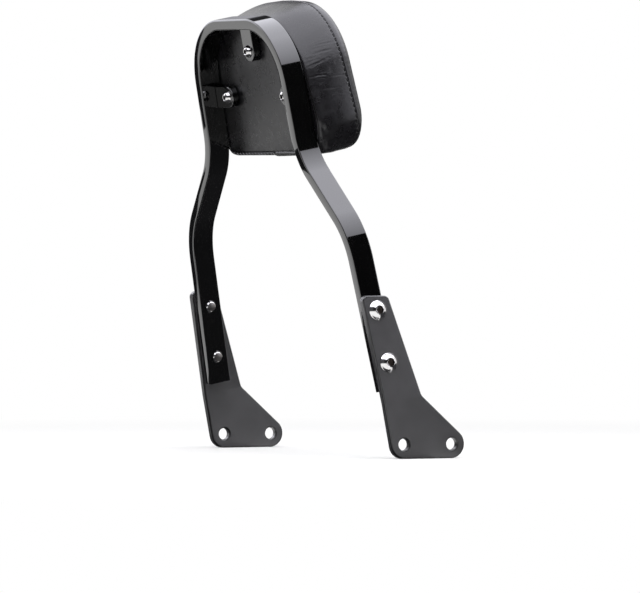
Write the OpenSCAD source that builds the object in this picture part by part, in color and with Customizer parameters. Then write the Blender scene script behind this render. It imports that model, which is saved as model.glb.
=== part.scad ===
// Backrest hoop for a motorcycle's rear fender, with a padded rest and two bolt-on side plates.
// X points to the right side of the motorcycle, Y forwards and Z up. The origin lies midway
// between the two feet, on the common axis of their rear strut holes.

/* [Hoop] */
// Height of the hoop's top above the rear strut holes, along the leaning hoop
hoop_h = 373.5; // [330:0.5:430]
// Lean of the hoop towards the back, degrees
rake = 10.9; // [0:0.1:18]
// Width of the flat bar, front to back
bar_w = 20; // [14:0.5:26]
// Thickness of the flat bar
bar_t = 9.5; // [7:0.5:12]
// Rounding of the bar's long edges
bar_edge_r = 1.2; // [0.5:0.1:2]
// Width between bar centres at the top corners
top_w = 155; // [140:1:158]
// Width between bar centres at the waist bends
waist_w = 164; // [150:1:180]
// Width between bar centres at the hip bends
hip_w = 293; // [270:1:320]
// Waist bends below the hoop's top
waist_drop = 122.5; // [116:0.5:130]
// Hip bends below the hoop's top
hip_drop = 191; // [180:0.5:204]
// Outward splay of the legs below the hips, degrees
leg_splay = 4.9; // [0:0.1:8]
// Lower ends of the bar above the strut holes
bar_end_rise = 47.5; // [44:0.5:54]
// Bend radius of the top corners, at the bar's centre
corner_r = 53; // [45:0.5:56]
// Bend radius of the waist, at the bar's centre
waist_r = 57; // [40:0.5:62]
// Bend radius of the hips, at the bar's centre
hip_r = 65.5; // [40:0.5:70]

/* [Side plates] */
// Thickness of the side plates
plate_t = 6.4; // [4.5:0.1:7]
// Overhang of a plate behind the bar
plate_back = 2.3; // [0.5:0.1:3]
// Width of a plate across its top
plate_top_w = 25; // [22:0.5:32]
// Width of a plate at its bend line
plate_bend_w = 37; // [33:0.5:42]
// Rear top corner of a plate above the strut holes
plate_top_rise = 132; // [127:0.5:140]
// Height of the bend line above the strut holes
foot_h = 38; // [30:0.5:42]
// Rounding of a plate's top corners
plate_corner_r = 5; // [2:0.5:8]
// Rounding where the foot flares forwards
flare_r = 8; // [3:0.5:12]
// Distance between the two strut holes of a foot
strut_pitch = 46.5; // [40:0.5:60]
// Diameter of the strut holes
strut_hole_d = 10.3; // [8:0.1:12]

/* [Side screws] */
// Thread diameter of the side screws
side_thread_d = 9.5; // [8:0.1:10]
// Head diameter of the side screws
side_head_d = 16.7; // [15:0.1:18]
// Head height of the side screws
side_head_h = 5.1; // [4:0.1:6]
// Length of the side screws under the head
side_screw_len = 17.5; // [16:0.1:20]
// Upper side screws above the strut holes
side_screw_rise = 116; // [112:0.5:120]
// Distance between the two side screws of a leg
side_screw_pitch = 45.7; // [42:0.1:50]

/* [Pad tabs] */
// Thickness of the welded tabs
tab_t = 6.4; // [4.5:0.1:7]
// Width of the welded tabs
tab_w = 19; // [16:0.5:22]
// Screw of the top tab below the hoop's top
top_tab_drop = 30.4; // [26:0.1:36]
// Screws of the side tabs below the hoop's top
side_tab_drop = 70.5; // [68:0.5:80]
// Distance between the screws of the two side tabs
side_tab_span = 107; // [96:1:110]

/* [Pad screws] */
// Thread diameter of the pad screws
pad_thread_d = 6.3; // [5:0.1:7]
// Head diameter of the pad screws
pad_head_d = 11.1; // [9.5:0.1:13]
// Head height of the pad screws
pad_head_h = 4.4; // [3:0.1:5]
// Length of the pad screws under the head
pad_screw_len = 19; // [18:0.5:22]

/* [Pad] */
// Width of the pad's base, before its corners are rounded
pad_base_w = 203; // [190:1:216]
// Width of the pad's shoulders, before its corners are rounded
pad_shoulder_w = 156; // [140:1:170]
// Pad base below the hoop's top
pad_base_drop = 124; // [118:0.5:132]
// Pad shoulders above the hoop's top
pad_shoulder_rise = 2.6; // [0:0.1:6]
// Extra height of the pad at its middle
pad_apex = 3.8; // [0:0.1:6]
// Shoulders of the back panel below those of the front seam
pad_back_drop = 8; // [0:0.5:10]
// Rounding of the shoulders
shoulder_r = 64; // [50:1:66]
// Rounding of the pad's crest
crest_r = 150; // [100:5:200]
// Rounding of the base corners
base_r = 29; // [20:1:34]
// Depth of the side band, from the back panel to the front seam
band_depth = 36.7; // [30:0.1:44]
// Swell of the side band between its two seams
band_swell = 1.2; // [0:0.1:2.5]
// Rounding of the pad's rear edge
rear_edge = 2.5; // [1:0.1:4]
// Rise of the crowned front beyond the front seam, at its base
crown = 13.5; // [10:0.5:20]
// Forward lean of the crowned front, which makes it thicker at the top, degrees
crown_tilt = 3; // [0:0.1:4]
// Width of the crowned border around the front
crown_run = 45; // [36:1:48]
// Thickness of the padded cover
cover_t = 1.2; // [0.8:0.1:1.6]
// Thickness of the board inside the pad
board_t = 9; // [8.5:0.1:11]
// Board edge inside the back panel's edge
board_inset = 8; // [6:0.5:12]

/* [Tee nuts] */
// Flange diameter of the tee nuts
tee_flange_d = 19; // [16:0.5:22]
// Flange thickness of the tee nuts
tee_flange_t = 1.6; // [1.2:0.1:2]
// Barrel diameter of the tee nuts
tee_barrel_d = 8.4; // [8:0.1:9.5]
// Barrel length of the tee nuts
tee_barrel_len = 8; // [6:0.5:8.5]

/* [Clearances] */
// Gap between soft pieces and their neighbours
soft_gap = 0.3; // [0.2:0.05:0.5]
// Radial gap between a screw's thread and its threaded hole
thread_gap = 0.05; // [0.03:0.01:0.1]
// Radial gap between a screw and a plain hole
hole_gap = 0.4; // [0.2:0.05:0.8]
// Radial gap between a tee nut's barrel and the board
barrel_gap = 0.1; // [0.05:0.05:0.3]

/* [Hidden] */

$fn = 64;
// Points on a rounded corner, and slices of the crowned front
arc_steps = 12;
crown_steps = 7;
slice_t = 0.02;
// Share of the back's drop that is left at the rear edge's rounding and halfway along the band
edge_lowered = 0.8;
middle_lowered = 0.45;
// Above 1 the crowned front is fuller near its seam
crown_fullness = 1.3;
// How far a cut runs past the face it opens, and how far the bar's straights run into its bends
through = 1;
joint_lap = 0.02;
thread_chamfer = 1.2;
// Size of a hex socket across its flats and its depth, as shares of the head's width and height
socket_share = 0.34;
socket_depth_share = 0.6;
// Room in the foam beyond the tip of a pad screw
tip_room = 1;
left = -1;
right = 1;

// Places along the leaning hoop, above the strut holes
top_z = hoop_h - bar_t / 2;
waist_z = hoop_h - waist_drop;
hip_z = hoop_h - hip_drop;
screw_along = (hip_z - side_screw_rise) / cos(leg_splay);

// A foot hangs straight down from the bend line under the splayed leg
foot_in_x = hip_w / 2 + (hip_z - foot_h) * tan(leg_splay) + bar_t / 2 / cos(leg_splay);
foot_out_x = foot_in_x + plate_t;
foot_r = bar_w / 2 + plate_back;

// Front and back faces of the pad's layers, from the bar's middle plane
tab_back_y = bar_w / 2 - tab_t;
pad_y = bar_w / 2 + soft_gap;
board_y = pad_y + cover_t + soft_gap;
board_front_y = board_y + board_t;
seam_y = pad_y + band_depth;
tip_y = tab_back_y + pad_screw_len;

function unit(v) = v / norm(v);
function square_to(v) = [-v.y, v.x];
function turned(v, a) = [v.x * cos(a) - v.y * sin(a), v.x * sin(a) + v.y * cos(a)];
function turn(a, b, c) = let (u = unit(b - a), v = unit(c - b))
    atan2(u.x * v.y - u.y * v.x, u * v);
function bend_run(a, b, c, r) = r * tan(abs(turn(a, b, c)) / 2);

// Points of the arc that rounds corner b between its neighbours a and c
function rounded(a, b, c, r) =
    let (way = turn(a, b, c), side = sign(way),
         start = b - unit(b - a) * bend_run(a, b, c, r),
         centre = start + square_to(unit(b - a)) * r * side)
    [for (i = [0:arc_steps]) centre + turned(start - centre, way * i / arc_steps)];

// A closed outline with each corner rounded by its own radius
function rounded_outline(p, r) = let (n = len(p))
    [for (i = [0:n - 1]) each rounded(p[(i + n - 1) % n], p[i], p[(i + 1) % n], r[i])];

// Corners of a counter-clockwise outline, moved inwards by d
function inset(p, d) = let (n = len(p))
    [for (i = [0:n - 1])
        let (u = square_to(unit(p[i] - p[(i + n - 1) % n])),
             v = square_to(unit(p[(i + 1) % n] - p[i])))
        p[i] + (u + v) * d / (1 + u * v)];

// Half of the bar's centre line, from the lower end of the right leg to the top corner
right_path = [[hip_w / 2 + (hip_z - bar_end_rise) * tan(leg_splay), bar_end_rise],
              [hip_w / 2, hip_z], [waist_w / 2, waist_z], [top_w / 2, top_z]];
hoop_path = concat(right_path, [for (i = [3:-1:0]) [-right_path[i].x, right_path[i].y]]);
hoop_bends = [0, hip_r, waist_r, corner_r, corner_r, waist_r, hip_r, 0];

pad_base_z = hoop_h - pad_base_drop;
pad_shoulder_z = hoop_h + pad_shoulder_rise;
pad_radii = [base_r, base_r, shoulder_r, crest_r, shoulder_r];
least_r = 3;
function pad_corners(z) =
    [[-pad_base_w / 2, pad_base_z], [pad_base_w / 2, pad_base_z],
     [pad_shoulder_w / 2, z], [0, z + pad_apex], [-pad_shoulder_w / 2, z]];

// Outline of the pad moved inwards by d, its shoulders lowered by a share of the back's drop
function pad_outline(d, lowered = 0) =
    rounded_outline(inset(pad_corners(pad_shoulder_z - lowered * pad_back_drop), d),
                    [for (r = pad_radii) max(r - d, least_r)]);

// Screw positions of the pad, across and up
top_seat = [0, hoop_h - top_tab_drop];
function side_seat(side) = [side * side_tab_span / 2, hoop_h - side_tab_drop];

module raked() { rotate([rake, 0, 0]) children(); }

// Frame on the middle of a leg: X out through its flat face, Z up the leg
module on_leg(side, along) {
    mirror([side < 0 ? 1 : 0, 0, 0]) translate([hip_w / 2, 0, hip_z])
        rotate([0, -leg_splay, 0]) translate([0, 0, -along]) children();
}

// An outline across and up, made into a slab from y to y + t
module slab(y, t) { translate([0, y + t, 0]) rotate([90, 0, 0]) linear_extrude(height = t) children(); }

// A pin along +Y that starts behind the given point across and up
module along_y(seat, y) { translate([seat.x, y, seat.y]) rotate([-90, 0, 0]) children(); }

module bar_section() {
    square([bar_t - 2 * bar_edge_r, bar_w], center = true);
    square([bar_t, bar_w - 2 * bar_edge_r], center = true);
    for (x = [-1, 1], y = [-1, 1])
        translate([x * (bar_t / 2 - bar_edge_r), y * (bar_w / 2 - bar_edge_r)]) circle(r = bar_edge_r);
}

module straight_bar(a, b) {
    translate([a.x, a.y, 0]) rotate([0, 0, atan2(b.y - a.y, b.x - a.x)])
        rotate([90, 0, 90]) linear_extrude(height = norm(b - a)) bar_section();
}

module bar_bend(a, b, c, r) {
    way = turn(a, b, c);
    start = b - unit(b - a) * bend_run(a, b, c, r);
    centre = start + square_to(unit(b - a)) * r * sign(way);
    from = way > 0 ? start - centre : turned(start - centre, way);
    translate([centre.x, centre.y, 0]) rotate([0, 0, atan2(from.y, from.x)])
        rotate_extrude(angle = abs(way)) translate([r, 0]) bar_section();
}

// A flat bar bent the easy way along a path of straights and round bends
module bent_bar(p, r) {
    n = len(p) - 1;
    run = [for (i = [0:n]) r[i] > 0 ? bend_run(p[i - 1], p[i], p[i + 1], r[i]) : 0];
    lap = [for (i = [0:n]) r[i] > 0 ? joint_lap : 0];
    for (i = [0:n - 1])
        straight_bar(p[i] + unit(p[i + 1] - p[i]) * (run[i] - lap[i]),
                     p[i + 1] - unit(p[i + 1] - p[i]) * (run[i + 1] - lap[i + 1]));
    for (i = [1:n - 1]) bar_bend(p[i - 1], p[i], p[i + 1], r[i]);
}

module upright_hoop() {
    color("#121214") raked() difference() {
        rotate([90, 0, 0]) bent_bar(hoop_path, hoop_bends);
        for (side = [left, right], along = [screw_along, screw_along + side_screw_pitch])
            on_leg(side, along) rotate([0, 90, 0])
                cylinder(d = side_thread_d + 2 * thread_gap, h = bar_t + 2 * through, center = true);
    }
}

// Place across the hoop where the bar's inner face runs, at a height on the straight side
function inner_x(z) = top_w / 2 + (waist_w - top_w) / 2 * (top_z - z) / (top_z - waist_z)
    - bar_t / 2 * norm([(waist_w - top_w) / 2, top_z - waist_z]) / (top_z - waist_z);

module tab_hole(seat) {
    along_y(seat, tab_back_y - through) cylinder(d = pad_thread_d + 2 * hole_gap, h = tab_t + 2 * through);
}

module top_pad_tab() {
    color("#1b1b1d") raked() difference() {
        slab(tab_back_y, tab_t) {
            translate(top_seat) circle(d = tab_w);
            translate([-tab_w / 2, top_seat.y]) square([tab_w, hoop_h - bar_t - top_seat.y]);
        }
        tab_hole(top_seat);
    }
}

module side_pad_tab(side) {
    seat = side_seat(right);
    low = seat.y - tab_w / 2;
    high = seat.y + tab_w / 2;
    color("#1b1b1d") raked() difference() {
        slab(tab_back_y, tab_t) mirror([side < 0 ? 1 : 0, 0]) {
            translate(seat) circle(d = tab_w);
            polygon([[seat.x, low], [inner_x(low), low], [inner_x(high), high], [seat.x, high]]);
        }
        tab_hole(side_seat(side));
    }
}

// Outline of a side plate seen from the side, forwards and up
foot_flare = turned([plate_bend_w - foot_r, foot_h], rake);
front_hole = [strut_pitch, 0];
flare_to = front_hole - foot_flare;
flare_angle = atan2(-flare_to.y, -flare_to.x) - acos(foot_r / norm(flare_to));
plate_corner_a = turned([-foot_r, plate_top_rise], rake);
plate_corner_b = plate_corner_a + [plate_top_w / cos(rake), 0];
flare_tangent = front_hole + foot_r * [cos(flare_angle), sin(flare_angle)];
rear_tangent = foot_r * [-cos(rake), -sin(rake)];

function foot_arc(centre, from, to) =
    [for (i = [0:arc_steps]) let (a = from + (to - from) * i / arc_steps)
        centre + foot_r * [cos(a), sin(a)]];

plate_outline = concat(
    rounded(rear_tangent, plate_corner_a, plate_corner_b, plate_corner_r),
    rounded(plate_corner_a, plate_corner_b, foot_flare, plate_corner_r),
    rounded(plate_corner_b, foot_flare, flare_tangent, flare_r),
    foot_arc(front_hole, flare_angle, -90),
    foot_arc([0, 0], -90, rake - 180));

// Section of the bent plate seen from behind, as far as it can reach
function leg_x(z, out) = hip_w / 2 + (hip_z - z) * tan(leg_splay) + (bar_t / 2 + out) / cos(leg_splay);
bend_out_z = hip_z - (foot_out_x - hip_w / 2 - (bar_t / 2 + plate_t) / cos(leg_splay)) / tan(leg_splay);

module side_plate(side) {
    reach = plate_bend_w + strut_pitch;
    top = plate_top_rise + plate_top_w;
    low = -2 * foot_r - strut_pitch;
    color("#39383b") mirror([side < 0 ? 1 : 0, 0, 0]) difference() {
        intersection() {
            rotate([90, 0, 90]) linear_extrude(height = 2 * foot_out_x) polygon(plate_outline);
            raked() slab(-reach, 2 * reach)
                polygon([[foot_in_x, low], [foot_out_x, low], [foot_out_x, bend_out_z],
                         [leg_x(top, plate_t), top], [leg_x(top, 0), top], [foot_in_x, foot_h]]);
        }
        for (y = [0, strut_pitch]) translate([foot_in_x - through, y, 0]) rotate([0, 90, 0])
            cylinder(d = strut_hole_d, h = plate_t + 2 * through);
        raked() for (along = [screw_along, screw_along + side_screw_pitch])
            on_leg(right, along) translate([bar_t / 2 - through, 0, 0]) rotate([0, 90, 0])
                cylinder(d = side_thread_d + 2 * hole_gap, h = plate_t + 2 * through);
    }
}

// Button-head screw with its head above the plane z = 0 and its thread below
module button_screw(thread_d, head_d, head_h, length) {
    dome_r = (pow(head_d / 2, 2) + pow(head_h, 2)) / (2 * head_h);
    difference() {
        intersection() {
            translate([0, 0, head_h - dome_r]) sphere(r = dome_r);
            cylinder(d = head_d, h = head_h);
        }
        translate([0, 0, head_h * (1 - socket_depth_share)])
            cylinder(d = head_d * socket_share / cos(30), h = head_h, $fn = 6);
    }
    translate([0, 0, thread_chamfer - length]) cylinder(d = thread_d, h = length - thread_chamfer);
    translate([0, 0, -length])
        cylinder(d1 = thread_d - 2 * thread_chamfer, d2 = thread_d, h = thread_chamfer);
}

module side_screw(side, along) {
    color("#c9cacd") raked() on_leg(side, along) translate([bar_t / 2 + plate_t, 0, 0])
        rotate([0, 90, 0]) button_screw(side_thread_d, side_head_d, side_head_h, side_screw_len);
}

module pad_screw(seat) {
    color("#c9cacd") raked() translate([seat.x, tab_back_y, seat.y]) rotate([90, 0, 0])
        button_screw(pad_thread_d, pad_head_d, pad_head_h, pad_screw_len);
}

module pad_seats() {
    for (seat = [top_seat, side_seat(left), side_seat(right)]) translate([seat.x, 0, seat.y]) children();
}

module pad_board() {
    color("#8a7350") raked() difference() {
        slab(board_y, board_t) polygon(pad_outline(rear_edge + board_inset, 1));
        pad_seats() translate([0, board_y - through, 0]) rotate([-90, 0, 0])
            cylinder(d = tee_barrel_d + 2 * barrel_gap, h = board_t + 2 * through);
    }
}

module tee_nut(seat) {
    color("#a9abad") raked() along_y(seat, board_front_y) difference() {
        union() {
            cylinder(d = tee_flange_d, h = tee_flange_t);
            translate([0, 0, -tee_barrel_len]) cylinder(d = tee_barrel_d, h = tee_barrel_len);
        }
        translate([0, 0, -tee_barrel_len - through])
            cylinder(d = pad_thread_d + 2 * thread_gap, h = tee_barrel_len + tee_flange_t + 2 * through);
    }
}

module pad_back_panel() {
    color("#2a2a2d") raked() difference() {
        slab(pad_y, cover_t) polygon(pad_outline(rear_edge, 1));
        pad_seats() translate([0, pad_y - through, 0]) rotate([-90, 0, 0])
            cylinder(d = pad_thread_d + 2 * hole_gap, h = cover_t + 2 * through);
    }
}

module pad_slice(y, d, lowered = 0) { slab(y - slice_t, slice_t) polygon(pad_outline(d, lowered)); }

// The padded body from a plane behind to one in front, moved inwards by d
module pad_block(from, to, d) {
    hull() {
        pad_slice(from + slice_t, rear_edge + d, 1);
        pad_slice(pad_y + 2 * rear_edge, d, edge_lowered);
        pad_slice((pad_y + seam_y) / 2, d - band_swell, middle_lowered);
        pad_slice(to, d);
    }
}

// The domed front from the seam forwards, moved inwards by d
module pad_dome(d) {
    hull() for (i = [0:crown_steps]) let (a = 90 * i / crown_steps)
        translate([0, seam_y + (crown - d) * sin(a), pad_base_z]) rotate([-crown_tilt * sin(a), 0, 0])
            translate([0, 0, -pad_base_z])
                pad_slice(0, d + (crown_run - d) * pow(1 - cos(a), crown_fullness));
}

module pad_side_band() {
    color("#242427") raked() difference() {
        pad_block(pad_y, seam_y, 0);
        pad_block(pad_y - through, seam_y + through, cover_t);
        slab(pad_y - through, cover_t + soft_gap + through) polygon(pad_outline(-through));
    }
}

module pad_front_panel() {
    color("#242427") raked() translate([0, soft_gap, 0]) difference() {
        pad_dome(0);
        pad_dome(cover_t);
        translate([0, -slice_t, 0]) slab(seam_y - through, through + slice_t) polygon(pad_outline(cover_t));
    }
}

module pad_foam() {
    d = cover_t + soft_gap;
    color("#d8cf9e") raked() difference() {
        union() {
            pad_block(board_y, seam_y, d);
            pad_dome(d);
        }
        slab(board_y - through, board_t + through + soft_gap)
            polygon(pad_outline(rear_edge + board_inset - soft_gap, 1));
        pad_seats() translate([0, board_front_y, 0]) rotate([-90, 0, 0]) {
            cylinder(d = tee_flange_d + 2 * soft_gap, h = tee_flange_t + soft_gap);
            cylinder(d = pad_thread_d + 2 * hole_gap, h = tip_y - board_front_y + tip_room);
        }
    }
}

upright_hoop();
top_pad_tab();
side_pad_tab(left);  // left_pad_tab
side_pad_tab(right);  // right_pad_tab
side_plate(left);  // left_side_plate
side_plate(right);  // right_side_plate
side_screw(left, screw_along);  // left_upper_side_screw
side_screw(left, screw_along + side_screw_pitch);  // left_lower_side_screw
side_screw(right, screw_along);  // right_upper_side_screw
side_screw(right, screw_along + side_screw_pitch);  // right_lower_side_screw
pad_screw(top_seat);  // top_pad_screw
pad_screw(side_seat(left));  // left_pad_screw
pad_screw(side_seat(right));  // right_pad_screw
pad_board();
tee_nut(top_seat);  // top_tee_nut
tee_nut(side_seat(left));  // left_tee_nut
tee_nut(side_seat(right));  // right_tee_nut
pad_foam();
pad_back_panel();
pad_side_band();
pad_front_panel();
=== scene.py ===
# %% [markdown]
# A padded backrest hoop for a motorcycle.
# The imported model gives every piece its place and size. This lesson dresses it: a swept flat bar with
# a mirror-like black coat, bevelled plates and tabs, chrome screws, and a sewn vinyl pad.
# Lengths are in millimetres and lie in the hoop's own plane: X across, Y from back to front, and Z up
# from the strut holes. One matrix leans them back and turns them into metres at the end.

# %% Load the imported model
from math import atan, atan2, copysign, cos, exp, hypot, pi, radians, sin, sqrt, tan

import bmesh
import bpy
import numpy as np
from mathutils import Matrix, Vector


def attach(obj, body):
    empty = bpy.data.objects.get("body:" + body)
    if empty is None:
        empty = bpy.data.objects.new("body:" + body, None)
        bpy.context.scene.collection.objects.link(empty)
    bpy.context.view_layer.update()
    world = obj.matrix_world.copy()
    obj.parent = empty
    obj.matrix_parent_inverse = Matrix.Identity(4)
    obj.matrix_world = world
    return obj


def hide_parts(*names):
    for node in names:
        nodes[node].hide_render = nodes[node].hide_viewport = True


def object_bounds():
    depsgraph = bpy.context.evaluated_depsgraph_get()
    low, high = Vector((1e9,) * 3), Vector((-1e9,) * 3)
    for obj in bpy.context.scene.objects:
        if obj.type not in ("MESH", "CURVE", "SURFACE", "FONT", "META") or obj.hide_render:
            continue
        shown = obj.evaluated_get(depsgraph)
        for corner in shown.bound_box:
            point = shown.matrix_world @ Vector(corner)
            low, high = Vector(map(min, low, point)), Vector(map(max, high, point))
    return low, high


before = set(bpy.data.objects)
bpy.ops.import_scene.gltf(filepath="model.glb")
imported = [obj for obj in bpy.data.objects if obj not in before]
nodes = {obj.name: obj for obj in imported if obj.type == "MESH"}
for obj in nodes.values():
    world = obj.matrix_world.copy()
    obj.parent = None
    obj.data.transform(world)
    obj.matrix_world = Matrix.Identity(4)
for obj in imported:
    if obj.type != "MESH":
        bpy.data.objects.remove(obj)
cad_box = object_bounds()
print("nodes", len(nodes), "box", [[round(c, 4) for c in corner] for corner in cad_box])

# %% [markdown]
# The driving sizes are those of the real bar, plates and pad. They are written once here, and every
# later number is worked out from them.

# %% Sizes
MM = 0.001
HOOP_H = 373.5
RAKE = 10.9
BAR_W, BAR_T, BAR_EDGE_R, BAR_CROWN = 20, 9.5, 0.85, 0.14
TOP_W, WAIST_W, HIP_W = 155, 164, 293
WAIST_DROP, HIP_DROP, LEG_SPLAY, BAR_END_RISE = 122.5, 191, 4.9, 47.5
CORNER_R, WAIST_R, HIP_R = 53, 57, 65.5
PLATE_T, TAB_T, TAB_W = 6.4, 6.4, 19
SIDE_SCREW = {"head_d": 16.7, "head_h": 5.1, "thread_d": 9.5, "length": 17.5, "socket": 6.0}
PAD_SCREW = {"head_d": 11.1, "head_h": 4.4, "thread_d": 6.3, "length": 19, "socket": 4.0}
SIDE_SCREW_RISE, SIDE_SCREW_PITCH = 116, 45.7
TOP_TAB_DROP, SIDE_TAB_DROP, SIDE_TAB_SPAN = 30.4, 70.5, 107
PAD_BASE_W, PAD_SHOULDER_W, PAD_BASE_DROP = 203, 156, 124
PAD_SHOULDER_RISE, PAD_APEX, PAD_BACK_DROP = 2.6, 3.8, 8
SHOULDER_R, CREST_R, BASE_R = 64, 150, 29
BAND_DEPTH, BAND_SWELL, REAR_EDGE = 36.7, 1.2, 2.5
CROWN, CROWN_TILT, COVER_T, SKIVED, SOFT_GAP = 13.5, 3, 1.2, 0.8, 0.3

TOP_Z = HOOP_H - BAR_T / 2
WAIST_Z = HOOP_H - WAIST_DROP
HIP_Z = HOOP_H - HIP_DROP
PAD_BASE_Z = HOOP_H - PAD_BASE_DROP
PAD_SHOULDER_Z = HOOP_H + PAD_SHOULDER_RISE
PAD_Y = BAR_W / 2 + SOFT_GAP
SEAM_Y = PAD_Y + BAND_DEPTH
TAB_BACK_Y = BAR_W / 2 - TAB_T
LEAN = Matrix.Rotation(radians(RAKE), 4, "X") @ Matrix.Scale(MM, 4)
print("hoop plane leans", RAKE, "degrees; the seam lies", round(SEAM_Y, 1), "mm ahead of the bar's middle")

# %% [markdown]
# Colours are written as the sRGB hex values that a picture shows, and one function turns them linear.
# Another adds a node with its settings and its links, so that a material reads as a short list.

# %% Colour and node helpers
def linear(hex_colour):
    """An sRGB hex colour as the linear values that a shader takes."""
    parts = [int(hex_colour[i:i + 2], 16) / 255 for i in (1, 3, 5)]
    return tuple(c / 12.92 if c <= 0.04045 else ((c + 0.055) / 1.055) ** 2.4 for c in parts) + (1.0,)


def add_node(tree, kind, inputs=None, **settings):
    """Adds a node. An input is given a value, a socket to link to, or a node for its first output."""
    node = tree.nodes.new(kind if "Node" in kind else "ShaderNode" + kind)
    for name, value in settings.items():
        setattr(node, name, value)
    for name, value in (inputs or {}).items():
        if isinstance(value, bpy.types.Node):
            value = next(socket for socket in value.outputs if socket.enabled)
        if isinstance(value, bpy.types.NodeSocket):
            tree.links.new(value, node.inputs[name])
        else:
            node.inputs[name].default_value = value
    return node


def new_material(name):
    """An empty material, its tree and its object coordinates."""
    material = bpy.data.materials.new(name)
    material.use_nodes = True
    tree = material.node_tree
    tree.nodes.clear()
    return material, tree, add_node(tree, "TexCoord").outputs["Object"]


def finish_material(material, **inputs):
    """Closes a material with one Principled shader."""
    named = {name.replace("_", " "): value for name, value in inputs.items()}
    shader = add_node(material.node_tree, "BsdfPrincipled", named)
    add_node(material.node_tree, "OutputMaterial", {"Surface": shader})
    return material


def blotches(tree, place, size_mm, low, high):
    """Soft noise with patches of about size_mm, mapped from low to high."""
    noise = add_node(tree, "TexNoise", {"Vector": place, "Scale": 1 / (size_mm * MM), "Detail": 2.0})
    return add_node(tree, "MapRange", {"Value": noise, "From Min": 0.35, "From Max": 0.65,
                                       "To Min": low, "To Max": high})


def uneven(tree, place, size_mm, detail, strength, depth_mm, **under):
    """A surface that rises and falls by depth_mm in waves of about size_mm."""
    noise = add_node(tree, "TexNoise", {"Vector": place, "Scale": 1 / (size_mm * MM), "Detail": detail})
    return add_node(tree, "Bump",
                    {"Height": noise, "Strength": strength, "Distance": depth_mm * MM, **under})


def two_tones(tree, factor, *tones):
    """A mix of two colours, each a hex value or another mix."""
    first, second = [linear(tone) if isinstance(tone, str) else tone for tone in tones]
    return add_node(tree, "Mix", {"Factor": factor, "A": first, "B": second}, data_type="RGBA")


print("white", linear("#ffffff")[:3], "middle grey", [round(c, 3) for c in linear("#808080")[:3]])

# %% [markdown]
# Gloss black powder coat: the hoop is dipped in colour and baked under a clear coat, so it works as a
# black mirror. Nearly all that the eye sees is what it reflects, and only a faint orange peel, some
# 2 mm wide, softens it.

# %% Gloss black powder coat
def gloss_black_powder_coat():
    material, tree, place = new_material("gloss_black_powder_coat")
    colour = two_tones(tree, blotches(tree, place, 30, 0, 1), "#020202", "#040404")
    return finish_material(material, Base_Color=colour, Roughness=blotches(tree, place, 14, 0.05, 0.09),
                           IOR=1.5, Coat_Weight=1.0, Coat_Roughness=0.02, Coat_IOR=1.5,
                           Normal=uneven(tree, place, 2.2, 1.0, 0.05, 0.02))


gloss_black = gloss_black_powder_coat()
print("made", gloss_black.name)

# %% [markdown]
# Satin black powder coat: the powder leaves a fine grain of about half a millimetre, which spreads the
# light, so the plates read dark grey. On the rounded rims the powder flows out smooth, so an attribute
# called rim makes them glossier there, and a painted shade makes them darker, which outlines the plates.

# %% Satin black powder coat
def satin_black_powder_coat():
    material, tree, place = new_material("satin_black_powder_coat")
    rim = add_node(tree, "Attribute", attribute_name="rim").outputs["Fac"]
    flat = two_tones(tree, blotches(tree, place, 18, 0, 1), "#302f31", "#373638")
    sheen = add_node(tree, "MapRange", {"Value": rim, "To Min": 0.26, "To Max": 0.08})
    # painted shade: the rims get the dark #060606, which outlines the plates
    return finish_material(material, Base_Color=two_tones(tree, rim, flat, "#060606"),
                           Roughness=blotches(tree, place, 9, 0.46, 0.54), IOR=1.6, Coat_Weight=0.9,
                           Coat_Roughness=sheen, Coat_IOR=1.5,
                           Normal=uneven(tree, place, 0.5, 2.0, 0.25, 0.03))


satin_black = satin_black_powder_coat()
print("made", satin_black.name)

# %% [markdown]
# Chrome plate: a bright metal with almost no colour. Its roughness is very low, and hair-fine
# scratches from the driver and from polishing vary it a little. Plating hardly reaches into a socket,
# and a cut screw end has none, so an attribute turns the metal dull there. It also darkens both:
# bare steel at the end, and a painted shade in the socket.

# %% Chrome plate
def chrome_plate():
    material, tree, place = new_material("chrome_plate")
    socket_shade_bare_end = add_node(tree, "Attribute", attribute_name="socket_shade_bare_end").outputs["Fac"]
    bright = two_tones(tree, blotches(tree, place, 3, 0, 1), "#d6d4d2", "#e2e1e1")
    dull = add_node(tree, "MapRange", {"Value": socket_shade_bare_end, "To Min": 0.12, "To Max": 0.5})
    # painted shade darkens the socket; the cut screw end is dark bare steel
    return finish_material(material, Base_Color=two_tones(tree, socket_shade_bare_end, bright, "#4a4440"), Metallic=1.0,
                           Roughness=dull, Normal=uneven(tree, place, 0.35, 3.0, 0.04, 0.02))


chrome = chrome_plate()
print("made", chrome.name)

# %% [markdown]
# Upholstery vinyl: a soft plastic skin embossed with a leather grain. Cells about 1.1 mm across with
# sunken creases give it the grain, and broader noise varies its sheen. Fine stress lines run across
# the side band, so the band's own map, in millimetres along and across, carries them.

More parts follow.
